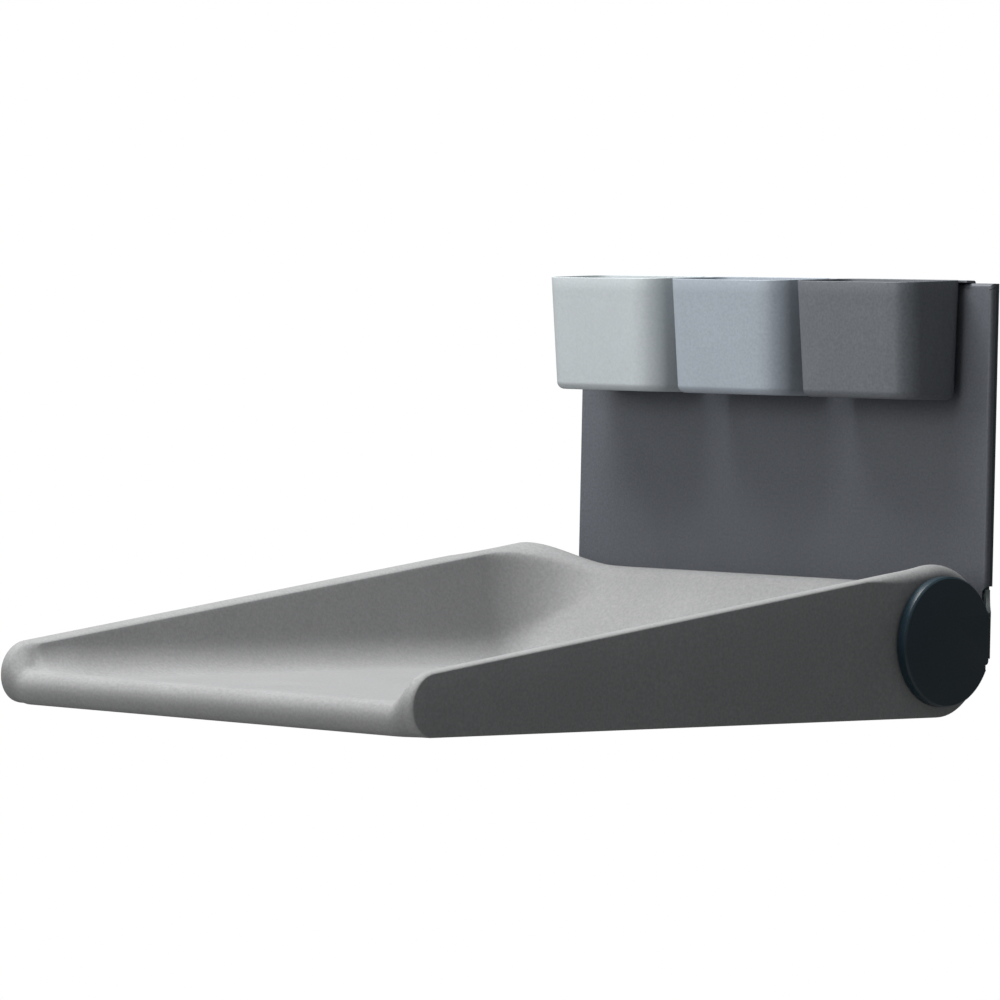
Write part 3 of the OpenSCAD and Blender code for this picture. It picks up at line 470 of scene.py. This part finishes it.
def build_cover(name, sign):
    """The round cap and its tab towards the wall, as one thin shell open to the tray and the wall."""
    base, face = SIDE + COVER_GAP, SIDE + COVER_GAP + COVER_T
    run, rise = COVER_R - COVER_FACE_R, COVER_T - COVER_RIM
    slant = math.hypot(run, rise)
    cap = turned_mesh(name, [(base, COVER_R), (base + COVER_RIM, COVER_R), (face, COVER_FACE_R)],
                      -AXIS_OUT, HINGE_Z, COVER_STEPS)
    high = HINGE_Z + ARM_UP + GAP + COVER_WALL
    low = HINGE_Z - ARM_DOWN - GAP - COVER_WALL - COVER_DROP
    r = COVER_TAB_R
    section = [(base, low)]
    section += [(face - r + r * math.sin(t), low + r - r * math.cos(t)) for t in arc(0, 90, TAB_STEPS)]
    section += [(face - r + r * math.cos(t), high - r + r * math.sin(t)) for t in arc(0, 90, TAB_STEPS)]
    section += [(base, high)]
    tab = loft("tab", [[(x, y, z) for x, z in section] for y in (-AXIS_OUT, -COVER_BACK)])
    boolean(cap, tab, "UNION")
    boolean(cap, block_mesh((0, -COVER_BACK, -FAR_CUT), (FAR_CUT, FAR_CUT, FAR_CUT)))
    corner = block_mesh((base - CORNER_CUT, -COVER_BACK - r, low - CORNER_CUT),
                        (face + CORNER_CUT, -COVER_BACK + CUT, low + r))
    boolean(corner, rod_mesh(r, base - 2 * CORNER_CUT, face + 2 * CORNER_CUT, -COVER_BACK - r, low + r,
                             CORNER_STEPS))
    boolean(cap, corner)
    inside = [(base - CUT, COVER_R - COVER_WALL),
              (base + COVER_RIM - COVER_WALL * (slant - rise) / run, COVER_R - COVER_WALL),
              (face - COVER_WALL, COVER_FACE_R - COVER_WALL * (slant - run) / rise)]
    boolean(cap, turned_mesh("inside", inside, -AXIS_OUT, HINGE_Z, COVER_STEPS))
    boolean(cap, block_mesh((base - CUT, -AXIS_OUT, low + COVER_WALL),
                            (face - COVER_WALL, 0, high - COVER_WALL)))
    bevel(cap, COVER_EDGE, segments=2, angle=30)
    if sign < 0:
        mirror_x(cap)
    return cap


# Materials

FINE_DETAIL, FINE_ROUGH = 3.0, 0.6
SLOW_SCALE, SLOW_DETAIL, SLOW_ROUGH = 14.0, 3.0, 0.55
NOISE_LOW, NOISE_HIGH = 0.3, 0.7
ROUGH_SPREAD = 0.05
BUMP_DEPTH = 0.0004


def noise(tree, coord, scale, detail, rough):
    node = tree.nodes.new("ShaderNodeTexNoise")
    node.inputs["Scale"].default_value = scale
    node.inputs["Detail"].default_value = detail
    node.inputs["Roughness"].default_value = rough
    tree.links.new(coord, node.inputs["Vector"])
    return node.outputs["Fac"]


def map_range(tree, value, low, high):
    """Spreads the usual span of a noise over low to high."""
    node = tree.nodes.new("ShaderNodeMapRange")
    node.inputs["From Min"].default_value = NOISE_LOW
    node.inputs["From Max"].default_value = NOISE_HIGH
    node.inputs["To Min"].default_value = low
    node.inputs["To Max"].default_value = high
    tree.links.new(value, node.inputs["Value"])
    return node.outputs["Result"]


def material(name, colour, rough, grain, bump, speckle=0.06, cloud=0.05, metallic=0.0, specular=0.5):
    """A moulded or coated surface: fine grain in colour and bump, with slow clouding over it.

    grain is in mm; speckle and cloud are shares of the colour.
    """
    mat = bpy.data.materials.new(name)
    mat.use_nodes = True
    tree = mat.node_tree
    shader = tree.nodes["Principled BSDF"]
    coord = tree.nodes.new("ShaderNodeTexCoord").outputs["Object"]
    fine = noise(tree, coord, 1 / (grain * MM), FINE_DETAIL, FINE_ROUGH)
    slow = noise(tree, coord, SLOW_SCALE, SLOW_DETAIL, SLOW_ROUGH)
    fine_gain = map_range(tree, fine, 1 - speckle, 1 + speckle)
    slow_gain = map_range(tree, slow, 1 - cloud, 1 + cloud)
    gain = tree.nodes.new("ShaderNodeMath")
    gain.operation = "MULTIPLY"
    tree.links.new(fine_gain, gain.inputs[0])
    tree.links.new(slow_gain, gain.inputs[1])
    tint = tree.nodes.new("ShaderNodeMix")
    tint.data_type = "RGBA"
    tint.blend_type = "MULTIPLY"
    tint.inputs["Factor"].default_value = 1.0
    tint.inputs["A"].default_value = (*colour, 1)
    tree.links.new(gain.outputs[0], tint.inputs["B"])
    tree.links.new(tint.outputs["Result"], shader.inputs["Base Color"])
    roughness = map_range(tree, slow, rough - ROUGH_SPREAD, rough + ROUGH_SPREAD)
    tree.links.new(roughness, shader.inputs["Roughness"])
    shader.inputs["Metallic"].default_value = metallic
    shader.inputs["Specular IOR Level"].default_value = specular
    relief = tree.nodes.new("ShaderNodeBump")
    relief.inputs["Strength"].default_value = bump
    relief.inputs["Distance"].default_value = BUMP_DEPTH
    tree.links.new(fine, relief.inputs["Height"])
    tree.links.new(relief.outputs["Normal"], shader.inputs["Normal"])
    mat.diffuse_color = (*colour, 1)
    return mat


# Name, colour, roughness, grain, bump, speckle and cloud
foam = material("foam_skin", (0.233, 0.234, 0.235), 0.7, 3.0, 0.3, 0.11, 0.03, specular=0.15)
slate = material("slate_powder_coat", (0.089, 0.096, 0.110), 0.50, 2.8, 0.4, 0.14, 0.03, specular=0.45)
dark = material("dark_powder_coat", (0.035, 0.045, 0.048), 0.5, 0.7, 0.3, 0.1, 0.04)
cover_mat = material("cover_plastic", (0.008, 0.021, 0.030), 0.38, 2.4, 0.2, 0.2, 0.05)
light_mat = material("light_plastic", (0.43, 0.465, 0.478), 0.5, 2.8, 0.15, 0.06, 0.02)
middle_mat = material("middle_plastic", (0.295, 0.33, 0.37), 0.5, 2.8, 0.15, 0.08, 0.02)
dark_mat = material("dark_plastic", (0.112, 0.121, 0.134), 0.48, 2.8, 0.2, 0.14, 0.02)
zinc = material("zinc_plate", (0.55, 0.55, 0.54), 0.35, 0.6, 0.1, 0.05, 0.06, metallic=1.0)
turned = material("turned_steel", (0.45, 0.45, 0.45), 0.3, 0.4, 0.15, 0.05, 0.05, metallic=1.0)
primed = material("primed_steel", (0.14, 0.14, 0.14), 0.6, 0.8, 0.2, 0.08, 0.06)
bearing = material("bearing_plastic", (0.05, 0.05, 0.05), 0.5, 0.8, 0.1)
lining_mat = material("friction_lining", (0.10, 0.08, 0.06), 0.8, 1.2, 0.5, 0.25, 0.1)
ply = material("plywood", (0.45, 0.31, 0.17), 0.7, 2.0, 0.2, 0.15, 0.12)


def dress(obj, mat):
    obj.data.materials.clear()
    obj.data.materials.append(mat)


CAD_LOOKS = {
    "wall_plate": dark, "left_bracket": dark, "right_bracket": dark, "front_panel": slate,
    "left_cover": cover_mat, "right_cover": cover_mat, "panel_screws": zinc, "bracket_screws": zinc,
    "cover_screws": zinc, "axle_screws": zinc, "frame_screws": zinc, "left_axle": turned, "right_axle": turned,
    "left_stop_pin": turned, "right_stop_pin": turned, "left_disc_spring": turned, "right_disc_spring": turned,
    "left_bush": bearing, "right_bush": bearing, "left_friction_lining": lining_mat,
    "right_friction_lining": lining_mat, "left_tray_arm": primed, "right_tray_arm": primed,
    "front_cross_bar": primed, "rear_cross_bar": primed, "base_board": ply,
}
for name, mat in CAD_LOOKS.items():
    dress(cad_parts[name], mat)

tray = build_tray()
dress(tray, foam)
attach(tray, "tray")
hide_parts("tray_body")

BIN_LOOKS = (("light", -1, light_mat), ("middle", 0, middle_mat), ("dark", 1, dark_mat))
for word, place, mat in BIN_LOOKS:
    piece = build_container(word + "_bin_shell", place * (BIN_W + BIN_GAP))
    dress(piece, mat)
    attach(piece, word + "_bin")
    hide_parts(word + "_container")

panel = build_panel()
dress(panel, slate)
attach(panel, "wall_unit")
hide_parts("front_panel")

for word, sign in (("left", -1), ("right", 1)):
    cover = build_cover(word + "_cap", sign)
    dress(cover, cover_mat)
    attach(cover, "wall_unit")
    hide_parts(word + "_cover")

# Floor, light and camera

STAGE_R, STAGE_Y, STAGE_Z, STAGE_STEPS = 2.6, -0.4, -1.05, 96
stage_edge = [(STAGE_R * math.cos(a), STAGE_R * math.sin(a) + STAGE_Y, STAGE_Z)
              for a in np.linspace(0, 2 * math.pi, STAGE_STEPS + 1)[:-1]]
floor = make_object("floor", stage_edge, [tuple(range(STAGE_STEPS))], smooth=False, scale=1.0)
dress(floor, material("floor_pale", (0.25, 0.25, 0.25), 0.7, 3.0, 0.05, 0.02, 0.02))

# The camera sees a white surround, and the part is lit by a weak one
world = bpy.data.worlds.new("studio")
scene.world = world
world.use_nodes = True
tree = world.node_tree
tree.nodes.clear()
blend = tree.nodes.new("ShaderNodeMixShader")
for socket, colour, strength in ((1, (0.93, 0.97, 1.0, 1), 0.165), (2, (1, 1, 1, 1), 1.0)):
    surround = tree.nodes.new("ShaderNodeBackground")
    surround.inputs["Color"].default_value = colour
    surround.inputs["Strength"].default_value = strength
    tree.links.new(surround.outputs[0], blend.inputs[socket])
tree.links.new(tree.nodes.new("ShaderNodeLightPath").outputs["Is Camera Ray"], blend.inputs["Fac"])
tree.links.new(blend.outputs[0], tree.nodes.new("ShaderNodeOutputWorld").inputs["Surface"])


def area_light(name, place, target, size, watts):
    data = bpy.data.lights.new(name, "AREA")
    data.shape = "RECTANGLE"
    data.size, data.size_y = size
    data.energy = watts
    obj = bpy.data.objects.new(name, data)
    scene.collection.objects.link(obj)
    obj.location = place
    obj.rotation_euler = (Vector(target) - Vector(place)).to_track_quat("-Z", "Y").to_euler()


area_light("key", (-2.4, -2.6, 1.2), (0.1, -0.3, 0), (1.8, 1.8), 22)
area_light("top", (-0.55, -0.9, 2.8), (-0.1, -0.45, 0), (2.4, 2.2), 222)
area_light("front", (0.5, -3.4, 0.6), (0.15, -0.1, -0.05), (1.2, 1.2), 34)

# The photograph's camera: its place, its angles, and its focal length in pixels of a picture 1000 wide
CAMERA_AT = Vector((4.62487, -4.98214, 0.14507))
AZIMUTH, ELEVATION, ROLL = (math.radians(v) for v in (45.348, 1.601, 1.209))
FOCAL_PX, PICTURE_PX, SENSOR = 6562.6, 1000, 36
forward = Vector((-math.sin(AZIMUTH) * math.cos(ELEVATION), math.cos(AZIMUTH) * math.cos(ELEVATION),
                  -math.sin(ELEVATION)))
right = Vector((math.cos(AZIMUTH), math.sin(AZIMUTH), 0))
up = right.cross(forward)
right_r = right * math.cos(ROLL) + up * math.sin(ROLL)
up_r = up * math.cos(ROLL) - right * math.sin(ROLL)
data = bpy.data.cameras.new("camera")
data.sensor_width = SENSOR
data.lens = SENSOR * FOCAL_PX / PICTURE_PX
data.clip_start, data.clip_end = 0.1, 50
camera = bpy.data.objects.new("camera", data)
scene.collection.objects.link(camera)
camera.matrix_world = Matrix((
    (right_r.x, up_r.x, -forward.x, CAMERA_AT.x),
    (right_r.y, up_r.y, -forward.y, CAMERA_AT.y),
    (right_r.z, up_r.z, -forward.z, CAMERA_AT.z),
    (0, 0, 0, 1)))
scene.camera = camera
scene.view_settings.view_transform = "Standard"
scene.view_settings.look = "None"

bpy.context.view_layer.update()
